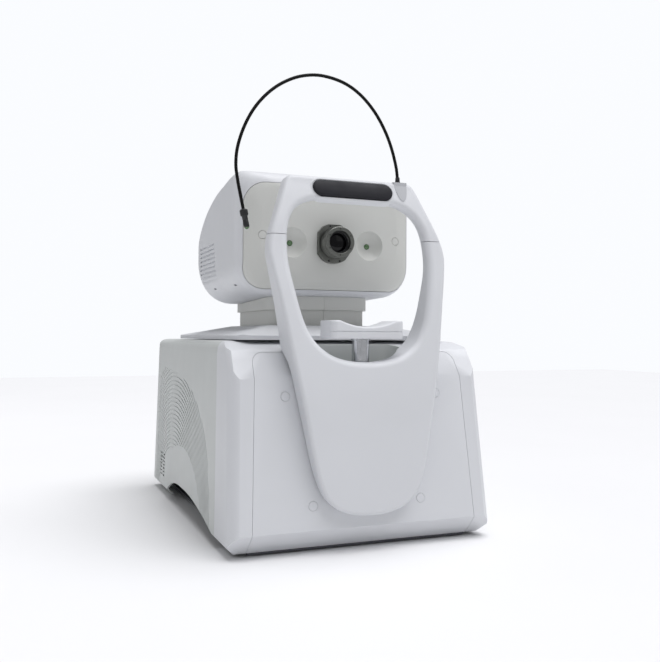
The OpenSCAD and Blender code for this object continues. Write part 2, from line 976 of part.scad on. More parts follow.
module frame_lower() {
    color(white) intersection() {
        frame_body();
        box(-200, -300, 0, 200, -100, seam_z - 0.4);
    }
}

// The tongue-shaped grey insert that the gooseneck plugs into
module socket_shape(grow) {
    along_y(-212, socket_back + grow) intersection() {
        translate([socket_x, 456]) polygon(concat(
            bezier([-9.6 - grow, 8], [-8 - grow, -6], [-6 - grow, -17 - grow], [0, -18.5 - grow], 8),
            bezier([0, -18.5 - grow], [6 + grow, -17 - grow], [8 + grow, -6], [9.6 + grow, 8], 8)));
        translate([socket_x - 40, 400]) square([80, 63.9]);
    }
}

module frame_cap() {
    color(white) difference() {
        intersection() {
            frame_body();
            box(-200, -300, seam_z, 200, -100, 480);
        }
        pad_place() translate([0, 0, -9]) linear_extrude(40)
            stadium(pad_length / 2 + 5.3, pad_half_h + 4.8);
        socket_shape(0.15);
    }
}

// Local frame on the leaning front of the cap: local Z points at the patient
module pad_place() {
    translate([0, pad_y, pad_z]) rotate([90 - cap_lean, 0, 0]) children();
}

module forehead_bracket() {
    color(white) pad_place() difference() {
        translate([0, 0, -8.7]) linear_extrude(11) stadium(pad_length / 2 + 5, pad_half_h + 4.5);
        translate([0, 0, -4]) linear_extrude(20) stadium(pad_length / 2 + 0.3, pad_half_h + 0.3);
    }
}

module forehead_pad() {
    color(dark) pad_place() translate([0, 0, -3.9]) linear_extrude(10) stadium(pad_length / 2, pad_half_h);
}

module lamp_socket() {
    color(shade) difference() {
        intersection() {
            socket_shape(0);
            along_x(150) polygon(concat(
                [for (p = frame_front) [p[0] - 0.6, p[1]]], [[-150, 468], [-150, 40]]));
        }
        translate([socket_x, socket_y, socket_z - 17]) cylinder(r = neck_r + 0.4 + running_gap, h = 60);
    }
}

// ---------- chin rest ----------

collar_r = 17;

module chin_drive() {
    color(dark) translate([0, chin_y, 0]) difference() {
        union() {
            translate([0, 0, 120]) cylinder(r = 16, h = well_floor - cover_wall - 120 - 0.1);
            translate([0, 0, well_floor + 0.1]) cylinder(r = collar_r, h = 5.5);
            translate([0, 0, 120]) cylinder(r = post_r + 3.9, h = well_floor - 118);
        }
        translate([0, 0, 124]) cylinder(r = post_r + running_gap, h = 200);
    }
}

chin_front = -257;
chin_back = -210;
chin_top = 279.5;
scoop_r = 92;
post_low = 182;
scoop_depth = 8;

module chin_rest() {
    half = chin_width / 2;
    color(white) difference() {
        translate([0, 0, chin_bottom]) linear_extrude(chin_top - chin_bottom)
            rounded_square(-half, chin_front, half, chin_back, 7);
        along_y(-300, -200) translate([0, chin_top - scoop_depth + scoop_r]) circle(scoop_r, $fn = 128);
        translate([0, 0, chin_bottom + 9]) linear_extrude(0.8) difference() {
            square(400, center = true);
            rounded_square(-half + 0.8, chin_front + 0.8, half - 0.8, chin_back - 0.8, 6.2);
        }
        translate([0, chin_y, 0]) cylinder(r = post_r, h = chin_bottom + 5);
    }
    color(metal) translate([0, chin_y, post_low]) cylinder(r = post_r, h = chin_bottom + 5 - post_low);
}

// ---------- gooseneck lamp ----------

// Centre line of the gooseneck in the X-Z plane, from the socket over to the lamp
route = [
    [socket_x, 468], [67.5, 486], [60, 512], [49, 536], [34, 558], [14, 577], [-10, 589.5], [-40, 594.5],
    [-67, 590.5], [-91, 579.5], [-111, 564], [-128, 544], [-141, 520], [-149.5, 494], [-151.8, 472],
    [-149.4, 452], [-145.8, 434], [-142, 416]];
bends = [6, 12];
bend_gap = 0.45;
ring_sides = 10;

function node_at(i) = route[max(0, min(len(route) - 1, i))];

// Point on the smooth curve through the route; whole values of t are the route's points
function on_route(t) = let (i = min(floor(t), len(route) - 2), u = t - i,
    a = node_at(i - 1), b = node_at(i), c = node_at(i + 1), d = node_at(i + 2))
    0.5 * (2 * b + (c - a) * u + (2 * a - 5 * b + 4 * c - d) * u * u + (3 * b - a - 3 * c + d) * u * u * u);

function heading(t) = let (e = 0.01, d = on_route(min(t + e, len(route) - 1)) - on_route(max(t - e, 0)))
    d / norm(d);

module hose(t0, t1, steps, r) {
    rings = [for (k = [0 : steps]) let (t = t0 + (t1 - t0) * k / steps, p = on_route(t), h = heading(t))
        [for (j = [0 : ring_sides - 1]) let (a = 360 * j / ring_sides)
            [p[0] + r * cos(a) * h[1], socket_y + r * sin(a), p[1] - r * cos(a) * h[0]]]];
    n = ring_sides;
    polyhedron(
        points = [for (ring = rings, p = ring) p],
        faces = concat(
            [[for (j = [0 : n - 1]) j]],
            [for (k = [0 : steps - 1], j = [0 : n - 1])
                [k * n + j, (k + 1) * n + j, (k + 1) * n + (j + 1) % n, k * n + (j + 1) % n]],
            [[for (j = [n - 1 : -1 : 0]) steps * n + j]]));
}

function step_of(i) = bend_gap / norm(on_route(i + 0.5) - on_route(i)) / 2;

module gooseneck_root() {
    color(black) {
        hose(0, bends[0] - step_of(bends[0]), 14, neck_r);
        translate([socket_x, socket_y, socket_z - 16]) cylinder(r = neck_r + 0.4, h = 17);
    }
}

module gooseneck_middle() {
    color(black) hose(bends[0] + step_of(bends[0]), bends[1] - step_of(bends[1]), 14, neck_r);
}

module gooseneck_tip() {
    color(black) hose(bends[1] + step_of(bends[1]), len(route) - 1, 12, neck_r);
}

lamp_length = 21;

module lamp_head() {
    end = route[len(route) - 1];
    turn = atan2(heading(len(route) - 1)[0], -heading(len(route) - 1)[1]);
    color(black) translate([end[0], socket_y, end[1]]) rotate([0, 180 - turn, 0]) {
        translate([0, 0, 0.1]) cylinder(r = lamp_r + 1.4, h = 8);
        translate([0, 0, 7]) cylinder(r = lamp_r, h = lamp_length - 7);
        translate([0, 0, lamp_length]) sphere(lamp_r);
    }
}

base_plate();
feet();
front_housing();
left_side_cover();
right_side_cover();
top_deck();
rear_cover();
access_panel();
panel_plugs();
chin_well();
power_inlet();
power_rocker();
signal_sockets();
power_supply();
main_board();
fan_frame();
fan_rotor();
y_rail_blocks();
y_rails();
y_motor();
y_screw();
y_carriage();
x_rails();
x_motor();
x_screw();
x_carriage();
column_tube();
z_motor();
z_screw();
stage_cover();
lower_neck_left();
lower_neck_right();
column_piston();
upper_neck_left();
upper_neck_right();
head_shell();
head_front_cover();
head_plugs();
optical_bench();
objective_flange();
objective_barrel();
objective_screws();
objective_lens();
pupil_windows();
relay_tube();
camera_module();
display_panel();
focus_rods();
focus_carriage();
frame_lower();
frame_cap();
forehead_bracket();
forehead_pad();
lamp_socket();
chin_drive();
chin_rest();
gooseneck_root();
gooseneck_middle();
gooseneck_tip();
lamp_head();
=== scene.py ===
"""Looks for the table-top fundus camera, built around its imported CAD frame.

Lengths in this file are written in millimetres, as in the CAD source, and turned into metres by mm().
X is right, +Y is the operator's side and +Z is up.
"""
import json
import math

import bmesh
import bpy
from mathutils import Matrix, Vector


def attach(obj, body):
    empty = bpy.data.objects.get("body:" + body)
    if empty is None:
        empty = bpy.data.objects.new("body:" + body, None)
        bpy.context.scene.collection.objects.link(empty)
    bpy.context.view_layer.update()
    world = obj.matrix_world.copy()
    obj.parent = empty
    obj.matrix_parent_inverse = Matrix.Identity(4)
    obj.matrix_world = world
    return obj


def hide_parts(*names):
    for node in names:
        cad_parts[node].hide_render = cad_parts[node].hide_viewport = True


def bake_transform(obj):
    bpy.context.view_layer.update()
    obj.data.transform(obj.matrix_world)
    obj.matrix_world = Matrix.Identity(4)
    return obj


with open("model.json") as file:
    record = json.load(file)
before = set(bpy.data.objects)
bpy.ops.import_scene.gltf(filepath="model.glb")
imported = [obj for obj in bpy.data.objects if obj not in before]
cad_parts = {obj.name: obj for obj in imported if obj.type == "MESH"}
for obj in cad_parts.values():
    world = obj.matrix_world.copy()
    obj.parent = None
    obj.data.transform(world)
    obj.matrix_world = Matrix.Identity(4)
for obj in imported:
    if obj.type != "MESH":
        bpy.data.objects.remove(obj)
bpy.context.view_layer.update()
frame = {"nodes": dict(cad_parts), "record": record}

MM = 0.001


def mm(point):
    """A point in millimetres as a vector in metres."""
    return Vector(point) * MM


# ---------- camera, floor and lights ----------

# Metres, degrees and millimetres of focal length
CAMERA_PLACE = (-0.4062, -1.148, 0.261)
CAMERA_YAW = 21.685
CAMERA_PITCH = 0.317
CAMERA_ROLL = 0.258
LENS = 43.44
SENSOR_WIDTH = 36
# The sky's strength as a light, and as the plain backdrop that the camera sees
SKY_FILL = 0.34
SKY_SEEN = 1.0
SKY_COLOUR = (0.96, 0.975, 1.0)
SUN_FROM = (0.22, -0.12, 1.0)
SUN_STRENGTH = 2.9
SUN_SPREAD = 55
SUN_COLOUR = (0.975, 0.975, 1.0)
# Two weak panels, in metres and watts, both turned towards the object's middle
PANEL_AIM = (0, 0, 0.3)
PANEL_SIZE = (1.2, 1.2)
PANELS = {"front_right": ((1.1, -1.7, 1.3), 1.5), "back_left": ((-1.6, 1.2, 1.2), 3)}
FLOOR_HALF = 4000
FLOOR_DROP = 0.6


def turned_axes(yaw, pitch, roll):
    """Right, up and forward directions of a level camera that is then turned, pitched and rolled."""
    yaw, pitch, roll = (math.radians(a) for a in (yaw, pitch, roll))
    right = Vector((math.cos(yaw), -math.sin(yaw), 0))
    level = Vector((math.sin(yaw), math.cos(yaw), 0))
    rise = Vector((0, 0, 1))
    forward = level * math.cos(pitch) + rise * math.sin(pitch)
    up = rise * math.cos(pitch) - level * math.sin(pitch)
    cos, sin = math.cos(roll), math.sin(roll)
    return right * cos + up * sin, up * cos - right * sin, forward


def add_camera():
    data = bpy.data.cameras.new("view")
    data.lens = LENS
    data.sensor_width = SENSOR_WIDTH
    data.clip_end = 50
    camera = bpy.data.objects.new("view", data)
    right, up, forward = turned_axes(CAMERA_YAW, CAMERA_PITCH, CAMERA_ROLL)
    turn = Matrix((right, up, -forward)).transposed().to_4x4()
    camera.matrix_world = Matrix.Translation(CAMERA_PLACE) @ turn
    bpy.context.scene.collection.objects.link(camera)
    bpy.context.scene.camera = camera


def add_panel(name, place, power):
    data = bpy.data.lights.new(name, "AREA")
    data.shape = "RECTANGLE"
    data.size, data.size_y = PANEL_SIZE
    data.energy = power
    light = bpy.data.objects.new(name, data)
    light.location = place
    light.rotation_euler = (Vector(PANEL_AIM) - Vector(place)).to_track_quat("-Z", "Y").to_euler()
    bpy.context.scene.collection.objects.link(light)


def add_sun():
    """One very wide, soft light from above, ahead of the object and a little to its right."""
    data = bpy.data.lights.new("sky_panel", "SUN")
    data.energy = SUN_STRENGTH
    data.angle = math.radians(SUN_SPREAD)
    data.color = SUN_COLOUR
    light = bpy.data.objects.new("sky_panel", data)
    light.rotation_euler = Vector(SUN_FROM).to_track_quat("Z", "Y").to_euler()
    bpy.context.scene.collection.objects.link(light)


def add_studio():
    world = bpy.data.worlds.new("studio")
    world.use_nodes = True
    background = world.node_tree.nodes["Background"]
    background.inputs["Color"].default_value = (*SKY_COLOUR, 1)
    path = world.node_tree.nodes.new("ShaderNodeLightPath")
    level = world.node_tree.nodes.new("ShaderNodeMapRange")
    level.inputs["To Min"].default_value = SKY_FILL
    level.inputs["To Max"].default_value = SKY_SEEN
    world.node_tree.links.new(path.outputs["Is Camera Ray"], level.inputs["Value"])
    world.node_tree.links.new(level.outputs["Result"], background.inputs["Strength"])
    bpy.context.scene.world = world
    bpy.context.scene.view_settings.view_transform = "Standard"
    add_sun()
    for name, (place, power) in PANELS.items():
        add_panel(name, place, power)
    edge, low = FLOOR_HALF, -FLOOR_DROP
    floor = loft("floor", [[(-edge, y, low), (edge, y, low)] for y in (-edge, edge)], closed=False)
    floor.data.materials.append(paper("floor_paper", (0.80, 0.80, 0.805)))


# ---------- materials ----------


class Shader:
    """A Principled material whose texture nodes work in the object's own metres."""

    def __init__(self, name, metallic=0.0, **sockets):
        self.material = bpy.data.materials.new(name)
        self.material.use_nodes = True
        self.tree = self.material.node_tree
        self.bsdf = self.tree.nodes["Principled BSDF"]
        self.bsdf.inputs["Metallic"].default_value = metallic
        for socket, value in sockets.items():
            self.bsdf.inputs[socket.replace("_", " ")].default_value = value
        self.place = self.node("ShaderNodeTexCoord").outputs["Object"]

    def node(self, kind, **settings):
        node = self.tree.nodes.new(kind)
        for key, value in settings.items():
            setattr(node, key, value)
        return node

    def link(self, a, b):
        self.tree.links.new(a, b)

    def noise(self, scale, detail=3.0, stretch=(1, 1, 1)):
        mapping = self.node("ShaderNodeMapping")
        mapping.inputs["Scale"].default_value = stretch
        self.link(self.place, mapping.inputs["Vector"])
        noise = self.node("ShaderNodeTexNoise")
        noise.inputs["Scale"].default_value = scale
        noise.inputs["Detail"].default_value = detail
        self.link(mapping.outputs["Vector"], noise.inputs["Vector"])
        return noise.outputs["Fac"]

    def ramp(self, factor, low, high, start=0.3, end=0.7):
        ramp = self.node("ShaderNodeMapRange")
        ramp.inputs["From Min"].default_value = start
        ramp.inputs["From Max"].default_value = end
        ramp.inputs["To Min"].default_value = low
        ramp.inputs["To Max"].default_value = high
        self.link(factor, ramp.inputs["Value"])
        return ramp.outputs["Result"]

    def colour(self, base, factor, spread=0.03, other=None):
        """Drifts the base colour towards a slightly darker one, or another, with a texture."""
        mix = self.node("ShaderNodeMix", data_type="RGBA")
        mix.inputs["A"].default_value = (*base, 1)
        mix.inputs["B"].default_value = (*(other or [c * (1 - spread) for c in base]), 1)
        self.link(self.ramp(factor, 0, 1), mix.inputs["Factor"])
        self.link(mix.outputs["Result"], self.bsdf.inputs["Base Color"])

    def rough(self, factor, low, high):
        self.link(self.ramp(factor, low, high), self.bsdf.inputs["Roughness"])

    def bump(self, factor, depth, strength=0.4):
        bump = self.node("ShaderNodeBump")
        bump.inputs["Strength"].default_value = strength
        bump.inputs["Distance"].default_value = depth
        self.link(factor, bump.inputs["Height"])
        self.link(bump.outputs["Normal"], self.bsdf.inputs["Normal"])


def plastic(name, base, rough=0.46, spread=0.025, coat=0.0):
    """Moulded plastic: a fine spark-eroded grain, a slow tint drift and handling sheen."""
    shader = Shader(name, Coat_Weight=coat, Coat_Roughness=0.2)
    shader.colour(base, shader.noise(9.0, 4.0), spread)
    shader.rough(shader.noise(38.0, 4.0), rough - 0.05, rough + 0.06)
    shader.bump(shader.noise(1700.0, 2.0), 0.00006, 0.35)
    return shader.material


def paper(name, base):
    shader = Shader(name, Roughness=0.8, Specular_IOR_Level=0.2)
    shader.colour(base, shader.noise(3.0), 0.01)
    return shader.material


def metal(name, base, rough=0.3, stretch=(1, 1, 1), scale=900.0, spread=0.12):
    """Bare or anodised metal, its tool marks stretched along one direction."""
    shader = Shader(name, metallic=1.0)
    marks = shader.noise(scale, 3.0, stretch)
    shader.colour(base, marks, spread)
    shader.rough(shader.noise(60.0, 3.0), rough - 0.06, rough + 0.08)
    shader.bump(marks, 0.00003, 0.3)
    return shader.material


def rubber(name, base, rough=0.62, grain=1300.0, depth=0.00012, shine=0.35):
    shader = Shader(name, Specular_IOR_Level=shine)
    shader.colour(base, shader.noise(14.0, 4.0), 0.18)
    shader.rough(shader.noise(50.0, 3.0), rough - 0.08, rough + 0.08)
    shader.bump(shader.noise(grain, 3.0), depth, 0.5)
    return shader.material


def circuit_board(name):
    """Green solder mask with paler tracks."""
    shader = Shader(name, Coat_Weight=0.3, Coat_Roughness=0.25)
    shader.colour((0.02, 0.13, 0.05), shader.noise(160.0, 1.0, (1, 0.2, 1)), other=(0.05, 0.24, 0.10))
    shader.rough(shader.noise(70.0), 0.35, 0.5)
    return shader.material


def dark_glass(name, base, rough=0.03, coat=1.0):
    shader = Shader(name, Specular_IOR_Level=0.5 * coat, Coat_Weight=coat, Coat_Roughness=0.02)
    shader.colour(base, shader.noise(25.0), other=tuple(c * 0.6 for c in base))
    shader.rough(shader.noise(90.0), rough, rough + 0.03)
    return shader.material


def make_materials():
    return {
        "cover_white": plastic("cover_white", (0.70, 0.71, 0.735)),
        # cover_grey's darker grey is painted shade: the side covers are the same plastic as cover_white and
        # only look grey because they face away from the light
        "cover_grey": plastic("cover_grey", (0.60, 0.62, 0.61)),
        "head_cream": plastic("head_cream", (0.66, 0.665, 0.635)),
        "plate_dark": plastic("plate_dark", (0.10, 0.10, 0.12), 0.55, 0.15),
        "foot_rubber": rubber("foot_rubber", (0.02, 0.02, 0.02), 0.75),
        "black_plastic": plastic("black_plastic", (0.018, 0.018, 0.02), 0.42, 0.2),
        "socket_grey": plastic("socket_grey", (0.46, 0.47, 0.49), 0.5),
        "sheet_steel": metal("sheet_steel", (0.56, 0.57, 0.59), 0.36, (1, 0.08, 1), 500.0),
        "ground_steel": metal("ground_steel", (0.62, 0.63, 0.65), 0.2, (1, 1, 0.05), 700.0, 0.08),
        "cast_alloy": metal("cast_alloy", (0.55, 0.56, 0.57), 0.45, (1, 1, 1), 350.0),
        "lens_metal": metal("lens_metal", (0.20, 0.205, 0.19), 0.34, (1, 0.1, 1), 600.0),
        "black_metal": plastic("black_metal", (0.012, 0.012, 0.013), 0.5, 0.2),
        "circuit_green": circuit_board("circuit_green"),
        "coated_glass": dark_glass("coated_glass", (0.003, 0.003, 0.004), coat=0.25),
        "window_glass": dark_glass("window_glass", (0.10, 0.22, 0.08), 0.12),
        "screen_glass": dark_glass("screen_glass", (0.012, 0.012, 0.014), 0.05),
        "pad_silicone": rubber("pad_silicone", (0.020, 0.020, 0.025), 0.6, shine=0.25),
        "hose_black": rubber("hose_black", (0.004, 0.004, 0.004), 0.5, 600.0, 0.00005, 0.15),
    }


# ---------- mesh tools ----------


def bezier(a, b, c, d, steps):
    """Points along a cubic curve, as in the CAD source."""
    points = []
    for i in range(steps + 1):
        t = i / steps
        s = 1 - t
        weights = (s * s * s, 3 * s * s * t, 3 * s * t * t, t * t * t)
        points.append(tuple(sum(w * v for w, v in zip(weights, along)) for along in zip(a, b, c, d)))
    return points


def straight(a, b, steps):
    return [tuple(p + (q - p) * i / steps for p, q in zip(a, b)) for i in range(steps + 1)]


def joined(*runs):
    """Runs of points end to end, without the doubled points where they meet."""
    points = list(runs[0])
    for run in runs[1:]:
        points += [p for p in run if math.dist(p, points[-1]) > 1e-6]
    return points


def value_at(curve, where):
    """Reads an increasing curve of (place, value) points."""
    if where <= curve[0][0]:
        return curve[0][1]
    for (x0, y0), (x1, y1) in zip(curve, curve[1:]):
        if where <= x1:
            return y0 + (y1 - y0) * (where - x0) / max(x1 - x0, 1e-9)
    return curve[-1][1]


def new_object(name, mesh):
    obj = bpy.data.objects.new(name, mesh)
    bpy.context.scene.collection.objects.link(obj)
    return obj


def loft(name, loops, closed=True, caps=False, ring=False):
    """A surface through loops of points in millimetres, each with the same number of points."""
    n = len(loops[0])
    verts = [mm(p) for loop in loops for p in loop]
    rows = len(loops)
    faces = []
    for i in range(rows if ring else rows - 1):
        j = (i + 1) % rows
        for k in range(n if closed else n - 1):
            m = (k + 1) % n
            faces.append((i * n + k, i * n + m, j * n + m, j * n + k))
    if caps:
        faces.append(tuple(range(n)))
        faces.append(tuple(range((rows - 1) * n, rows * n)))
    mesh = bpy.data.meshes.new(name)
    mesh.from_pydata(verts, [], faces)
    tidy_mesh(mesh)
    return new_object(name, mesh)


def tidy_mesh(mesh, merge=1e-6):
    bm = bmesh.new()
    bm.from_mesh(mesh)
    bmesh.ops.remove_doubles(bm, verts=bm.verts, dist=merge)
    bmesh.ops.dissolve_degenerate(bm, edges=bm.edges, dist=merge)
    bmesh.ops.recalc_face_normals(bm, faces=bm.faces)
    bm.to_mesh(mesh)
    bm.free()
    mesh.update()


def apply_modifiers(obj):
    bpy.context.view_layer.update()
    graph = bpy.context.evaluated_depsgraph_get()
    mesh = bpy.data.meshes.new_from_object(obj.evaluated_get(graph))
    obj.modifiers.clear()
    obj.data = mesh


def cut(obj, cutter, operation="DIFFERENCE", keep=False):
    """An exact boolean of obj with cutter, which is then deleted."""
    modifier = obj.modifiers.new("cut", "BOOLEAN")
    modifier.operation = operation
    modifier.solver = "EXACT"
    modifier.object = cutter
    apply_modifiers(obj)
    if not keep:
        bpy.data.objects.remove(cutter)


def copied(obj, name):
    return new_object(name, obj.data.copy())


def smooth(obj, angle=35.0):
    obj.data.shade_smooth()
    obj.data.set_sharp_from_angle(angle=math.radians(angle))


def soften(obj, width, segments=2, angle=32.0):
    """A small rounded edge on every corner sharper than angle."""
    weld = obj.modifiers.new("weld", "WELD")
    weld.merge_threshold = 0.000002
    bevel = obj.modifiers.new("edge", "BEVEL")
    bevel.width = width * MM
    bevel.segments = segments
    bevel.limit_method = "ANGLE"
    bevel.angle_limit = math.radians(angle)
    bevel.use_clamp_overlap = True
    bevel.harden_normals = False
    normals = obj.modifiers.new("normals", "WEIGHTED_NORMAL")
    normals.keep_sharp = True


def finish_piece(obj, body, slot, replaces=(), edge=0.0, angle=35.0):
    """Shades a piece, gives it its slot's material and joins it to its body."""
    smooth(obj, angle)
    if edge:
        soften(obj, edge)
    obj.data.materials.clear()
    obj.data.materials.append(MATERIALS[slot])
    if body:
        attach(obj, body)
    if replaces:
        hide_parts(*replaces)
    return obj


def block(name, low, high):
    """A box between two corners, for cutting."""
    (x0, y0, z0), (x1, y1, z1) = low, high
    loops = [[(x0, y0, z), (x1, y0, z), (x1, y1, z), (x0, y1, z)] for z in (z0, z1)]
    return loft(name, loops, caps=True)


def rod_along_y(name, x, z, y0, y1, radius, sides=48):
    turn = [2 * math.pi * k / sides for k in range(sides)]
    loops = [[(x + radius * math.cos(a), y, z + radius * math.sin(a)) for a in turn] for y in (y0, y1)]
    return loft(name, loops, caps=True)


def rod_along_z(name, x, y, z0, z1, radius, sides=48):
    turn = [2 * math.pi * k / sides for k in range(sides)]
    loops = [[(x + radius * math.cos(a), y + radius * math.sin(a), z) for a in turn] for z in (z0, z1)]
    return loft(name, loops, caps=True)


def ball(name, centre, radius):
    mesh = bpy.data.meshes.new(name)
    bm = bmesh.new()
    bmesh.ops.create_uvsphere(bm, u_segments=64, v_segments=32, radius=radius * MM,
                              matrix=Matrix.Translation(mm(centre)))
    bm.to_mesh(mesh)
    bm.free()
    return new_object(name, mesh)


def rounded_loop(half, z0, z1, r_low, r_high, y, steps=8):
    """A rounded rectangle across the object at y, with separate radii at its low and high corners."""
    limit = min(half, (z1 - z0) / 2) * 0.98
    corners = [(half, z0, min(r_low, limit), -90), (half, z1, min(r_high, limit), 0),
               (-half, z1, min(r_high, limit), 90), (-half, z0, min(r_low, limit), 180)]
    points = []
    for x, z, r, first in corners:
        cx = x - math.copysign(r, x)
        cz = z + r if z == z0 else z - r
        for k in range(steps + 1):
            a = math.radians(first + 90 * k / steps)
            points.append((cx + r * math.cos(a), y, cz + r * math.sin(a)))
    return points


def prism_along_y(name, half, z0, z1, radius, y0, y1):
    return loft(name, [rounded_loop(half, z0, z1, radius, radius, y, 12) for y in (y0, y1)], caps=True)


# ---------- head ----------

AXIS_Z = 386
HEAD_HALF = 129.5
# The head's side view and its plan, each as (y, z) or (y, half width), from front to back
HEAD_UPPER = joined(bezier((-133, 402), (-132.6, 424), (-131.4, 443), (-128, 461), 10),
                    bezier((-128, 461), (-124, 477), (-112, 484), (-92, 484), 12),
                    bezier((-84, 484), (-68, 483.6), (-50, 481), (-36, 478.8), 6),
                    bezier((-30, 478), (42, 472), (120, 440), (127, 402), 30),
                    bezier((127, 402), (128.6, 396), (130.9, 390), (131.1, 384.5), 5))
HEAD_LOWER = joined(bezier((-133, 370), (-132.6, 356), (-131.4, 345), (-128, 334), 8),
                    bezier((-128, 334), (-124, 321), (-116, 315.5), (-104, 315.5), 10),
                    straight((-104, 315.5), (78, 310), 4),
                    bezier((78, 310), (102, 310), (118, 318), (124, 338), 10),
                    bezier((124, 338), (128, 352), (131.3, 368), (131.1, 384), 8))
HEAD_WIDTH = joined(bezier((-133, 0), (-133, 30), (-132, 70), (-129, 99.5), 12),
                    bezier((-129, 99.5), (-124.5, 118), (-112, HEAD_HALF), (-93, HEAD_HALF), 12),
                    bezier((118, HEAD_HALF), (127, HEAD_HALF), (132, 124.5), (132, 115.5), 6))
HEAD_ENDS = (-132.9, 130.9)
LOW_CORNER = 44
# The top corners grow rounder towards the front, over this stretch of y
TOP_CORNER = 13
TOP_CORNER_FRONT = 31
TOP_CORNER_STRETCH = (-128, -100)


def head_solid(name):
    """The imaging head's closed outer form, as rounded sections from front to back."""
    first, last = HEAD_ENDS
    curves = HEAD_UPPER + HEAD_LOWER + HEAD_WIDTH
    places = sorted({round(p[0], 2) for p in curves if first < p[0] < last + 0.1})
    begin, end = TOP_CORNER_STRETCH
    loops = []
    for y in [first] + places + [last]:
        front = max(0.0, min(1.0, (end - y) / (end - begin)))
        top_corner = TOP_CORNER + (TOP_CORNER_FRONT - TOP_CORNER) * front
        loops.append(rounded_loop(value_at(HEAD_WIDTH, y), value_at(HEAD_LOWER, y), value_at(HEAD_UPPER, y),
                                  LOW_CORNER, top_corner, y))
    return loft(name, loops, caps=True)


def merged(name, objects):
    """Several closed solids as one cutter."""
    bm = bmesh.new()
    for obj in objects:
        bm.from_mesh(obj.data)
        bpy.data.objects.remove(obj)
    mesh = bpy.data.meshes.new(name)
    bm.to_mesh(mesh)
    bm.free()
    return new_object(name, mesh)


# The front cover: half width, foot, top and corner radius, and the seam that it ends at
COVER = (121, 323.5, 465.5, 29)
COVER_SEAM = -112
COVER_GAP = 0.6
CUT_FRONT = -160
WINDOW_X = 57.2
WINDOW_Y = -121
WINDOW_BORE = 4.1
HOLLOW_R = 24
PLUG_X = 98
PLUG_Z = 394.5
PLUG_R = 5.3
PLUG_BORE = 5.75
OBJECTIVE_BORE = 20.5
# Side vents: a stack of grooves, each starting a little further back than the one below it
VENTS = 9
VENT_FOOT = 341
VENT_PITCH = 6.6
VENT_HEIGHT = 2.6
VENT_LEAN = 1.8
VENT_BACK = 106
VENT_DEPTH = 2.2
# Two short slots in each lower edge, centred at SLOT_X and starting at each SLOT_Y
SLOT_X = 120
SLOT_HALF = 9
SLOT_Y = (-76, 32)
SLOT_LONG = 12
SLOT_Z = (329, 331.5)
# The operator's display: half width, foot, top and corner radius
SCREEN = (70, 352, 432, 6)
SCREEN_GAP = 0.4
SCREEN_Y = (92, 160)
SIDES = (-1, 1)


def grown_prism(outline, grow, y0, y1):
    """A rounded rectangle's prism along Y, from (half width, foot, top, radius), grown all round."""
    half, z0, z1, radius = outline
    return prism_along_y("t", half + grow, z0 - grow, z1 + grow, radius + grow, y0, y1)


def rods(x, z, y1, radius):
    """A pair of rods along Y from ahead of the head, one on each side."""
    return [rod_along_y("t", s * x, z, CUT_FRONT, y1, radius) for s in SIDES]


def build_head():
    solid = head_solid("head_solid")

    cover = copied(solid, "head_cover_face")
    cut(cover, grown_prism(COVER, 0, CUT_FRONT, COVER_SEAM), "INTERSECT")
    hollow_y = WINDOW_Y - HOLLOW_R + 1
    cut(cover, merged("t", [ball("t", (s * WINDOW_X, hollow_y, AXIS_Z), HOLLOW_R) for s in SIDES]))
    through = COVER_SEAM + 9
    holes = rods(PLUG_X, PLUG_Z, COVER_SEAM - 6, PLUG_BORE) + rods(WINDOW_X, AXIS_Z, through, WINDOW_BORE)
    holes.append(rod_along_y("t", 0, AXIS_Z, CUT_FRONT, through, OBJECTIVE_BORE, 64))
    cut(cover, merged("t", holes))
    finish_piece(cover, "head", "head_cream", ["head_front_cover"], 0.5)

    plugs = copied(solid, "head_plug_caps")
    cut(plugs, merged("t", rods(PLUG_X, PLUG_Z, COVER_SEAM - 5.8, PLUG_R)), "INTERSECT")
    finish_piece(plugs, "head", "head_cream", ["head_plugs"], 0.4)

    shell = solid
    shell.name = "head_housing"
    cut(shell, grown_prism(COVER, COVER_GAP, CUT_FRONT, COVER_SEAM + COVER_GAP))
    grooves = []
    for s in SIDES:
        wall = s * HEAD_HALF
        for i in range(VENTS):
            z = VENT_FOOT + VENT_PITCH * i
            grooves.append(block("t", (wall - VENT_DEPTH, VENT_LEAN * i, z),
                                 (wall + VENT_DEPTH, VENT_BACK, z + VENT_HEIGHT)))
        for y in SLOT_Y:
            grooves.append(block("t", (s * SLOT_X - SLOT_HALF, y, SLOT_Z[0]),
                                 (s * SLOT_X + SLOT_HALF, y + SLOT_LONG, SLOT_Z[1])))
    cut(shell, merged("t", grooves))
    cut(shell, grown_prism(SCREEN, SCREEN_GAP, SCREEN_Y[0] - 2, SCREEN_Y[1]))
    finish_piece(shell, "head", "cover_white", ["head_shell"], 0.5)

    screen = head_solid("rear_screen")
    cut(screen, grown_prism(SCREEN, 0, *SCREEN_Y), "INTERSECT")
    finish_piece(screen, "head", "screen_glass", ["display_panel"], 0.4)


def ring(name, profile, sides=96):
    """A turned part about the optical axis, from (radius, y) points around its section."""
    loops = []
    for k in range(sides):
        a = 2 * math.pi * k / sides
        loops.append([(r * math.cos(a), y, AXIS_Z + r * math.sin(a)) for r, y in profile])
    return loft(name, loops, ring=True)


LENS_R = 13.4
LENS_Y = -151.5
LENS_CROWN = 2.6


